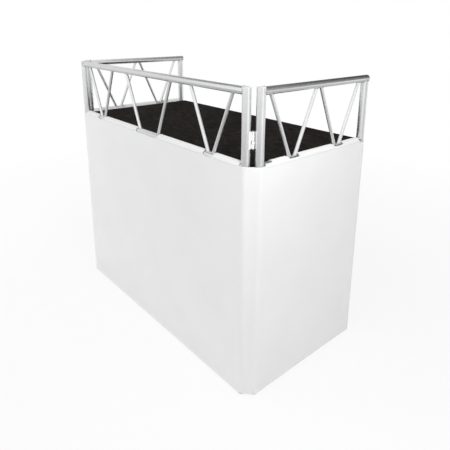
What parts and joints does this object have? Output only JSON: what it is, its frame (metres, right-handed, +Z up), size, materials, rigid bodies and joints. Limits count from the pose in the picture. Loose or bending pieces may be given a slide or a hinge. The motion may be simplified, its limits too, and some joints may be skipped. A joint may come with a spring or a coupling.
{
  "type": "dj booth",
  "caption": "Folding DJ booth of aluminium truss tube: front frame with hinged wings, carpeted table between the rails and a white stretch scrim round the outside.",
  "frame": {"origin": "on the floor, at the middle of the width and of the depth", "axes": "+X along the front frame to the right as seen from the audience, -Y towards the audience, +Z up"},
  "size_m": [1.279, 0.637, 1.1495],
  "materials": {
    "frame_tube": "bright drawn tube with weld marks",
    "lattice_rod": "bright drawn rod",
    "hinge_leaf": "pale powder coat",
    "hinge_pin": "zinc plated",
    "hinge_washer": "plain nylon",
    "end_cap": "pale grey moulding",
    "foot": "pale grey moulding",
    "ledge": "cut and bent plate",
    "hook_strip": "hook tape",
    "scrim": "white knitted stretch fabric",
    "carpet": "black needle-felt carpet",
    "board": "plywood"
  },
  "bodies": {
    "front_frame": {"front_bottom_rail": "frame_tube", "front_feet": "foot", "front_hook_strips": "hook_strip", "front_lattice_left": "lattice_rod", "front_lattice_middle": "lattice_rod", "front_lattice_right": "lattice_rod", "front_left_post": "frame_tube", "front_mid_rail": "frame_tube", "front_post_caps": "end_cap", "front_right_post": "frame_tube", "front_scrim": "scrim", "front_scrim_flaps": "scrim", "front_table_ledges": "ledge", "front_top_rail": "frame_tube", "left_hinge_front_leaves": "hinge_leaf", "left_hinge_pins": "hinge_pin", "left_hinge_washers": "hinge_washer", "left_scrim_corner": "scrim", "right_hinge_front_leaves": "hinge_leaf", "right_hinge_pins": "hinge_pin", "right_hinge_washers": "hinge_washer", "right_scrim_corner": "scrim"},
    "left_wing": {"left_hinge_wing_leaves": "hinge_leaf", "left_hook_strips": "hook_strip", "left_scrim": "scrim", "left_scrim_flaps": "scrim", "left_scrim_rear_turn": "scrim", "left_wing_bottom_rail": "frame_tube", "left_wing_caps": "end_cap", "left_wing_feet": "foot", "left_wing_front_post": "frame_tube", "left_wing_lattice_front": "lattice_rod", "left_wing_lattice_rear": "lattice_rod", "left_wing_mid_rail": "frame_tube", "left_wing_rear_post": "frame_tube", "left_wing_table_ledges": "ledge", "left_wing_top_rail": "frame_tube"},
    "right_wing": {"right_hinge_wing_leaves": "hinge_leaf", "right_hook_strips": "hook_strip", "right_scrim": "scrim", "right_scrim_flaps": "scrim", "right_scrim_rear_turn": "scrim", "right_wing_bottom_rail": "frame_tube", "right_wing_caps": "end_cap", "right_wing_feet": "foot", "right_wing_front_post": "frame_tube", "right_wing_lattice_front": "lattice_rod", "right_wing_lattice_rear": "lattice_rod", "right_wing_mid_rail": "frame_tube", "right_wing_rear_post": "frame_tube", "right_wing_table_ledges": "ledge", "right_wing_top_rail": "frame_tube"},
    "table": {"table_board": "board", "table_carpet": "carpet"}
  },
  "joints": [
    {"name": "left_wing_fold", "type": "hinge", "parent": "front_frame", "child": "left_wing", "pos_m": [-0.60602, -0.285, 0.5], "axis": [0, 0, 1], "range_deg": [0, 90], "deforming": ["left_scrim_corner"]},
    {"name": "right_wing_fold", "type": "hinge", "parent": "front_frame", "child": "right_wing", "pos_m": [0.60602, -0.285, 0.5], "axis": [0, 0, -1], "range_deg": [0, 90], "deforming": ["right_scrim_corner"]},
    {"name": "table_lift", "type": "slide", "parent": "front_frame", "child": "table", "axis": [0, 0, 1], "range_m": [0, 0.35]}
  ]
}
